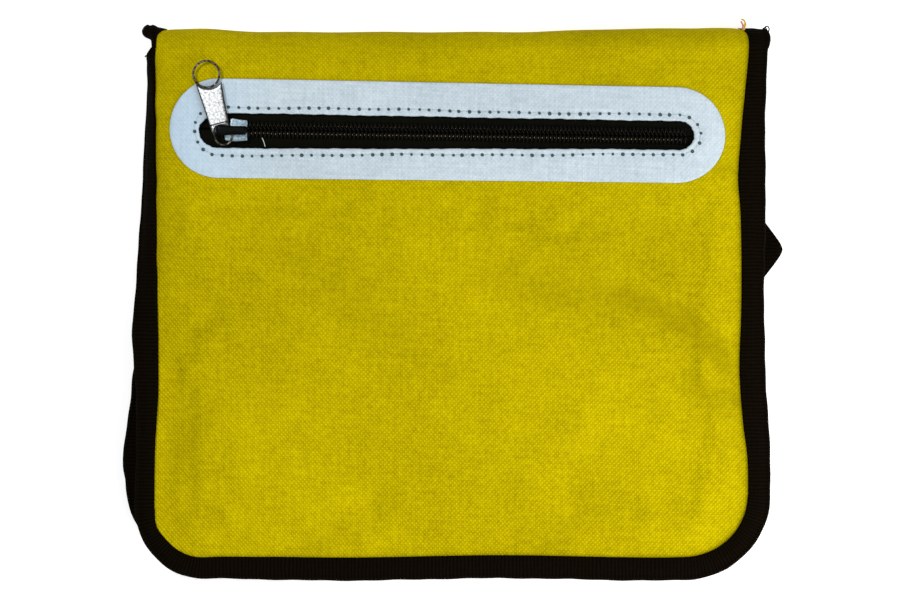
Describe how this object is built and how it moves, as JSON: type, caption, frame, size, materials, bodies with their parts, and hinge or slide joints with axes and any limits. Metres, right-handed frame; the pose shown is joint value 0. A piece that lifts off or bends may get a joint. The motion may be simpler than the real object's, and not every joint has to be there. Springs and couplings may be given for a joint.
{
  "type": "foldable cooler bag",
  "caption": "Flat folded insulated bag whose padded flap turns over the top edge and carries a zipped pocket; cloth edges bound with ribbed tape.",
  "frame": {"origin": "middle of the footprint, on the surface that the back panel lies on", "axes": "+X to the right of the flap as the picture shows it, +Y from the bag's bottom edge to the top fold, +Z out of the front; the bag lies on its back"},
  "size_m": [0.2514, 0.2094, 0.0206],
  "materials": {
    "yellow_cloth": "mustard yellow plain weave polyester over thin foam",
    "black_cloth": "black plain weave polyester",
    "black_tape": "black ribbed binding tape",
    "zip_cloth": "black woven zip tape",
    "zip_coil": "black nylon coil",
    "pale_film": "pale grey-blue reflective film on cloth",
    "silver_metal": "bright cast metal, a little mottled",
    "black_metal": "black enamel"
  },
  "bodies": {
    "bag": {"back_panel": "yellow_cloth", "front_panel": "yellow_cloth", "flap": "yellow_cloth", "gusset_left": "black_cloth", "gusset_right": "black_cloth", "gusset_bottom": "black_cloth", "pocket_back": "black_cloth", "flap_binding": "black_tape", "front_binding": "black_tape", "back_binding": "black_tape", "side_tab": "black_tape", "zip_tape_upper": "zip_cloth", "zip_tape_lower": "zip_cloth", "zip_coil_upper": "zip_coil", "zip_coil_lower": "zip_coil", "zip_surround": "pale_film", "slider_body": "silver_metal", "slider_crown": "black_metal"},
    "puller": {"slider_puller": "silver_metal"}
  },
  "joints": [
    {"name": "puller_turn", "type": "hinge", "parent": "bag", "child": "puller", "pos_m": [-0.08949, 0.06617, 0.0185], "axis": [0, 0, 1], "range_deg": [-60, 150]}
  ]
}
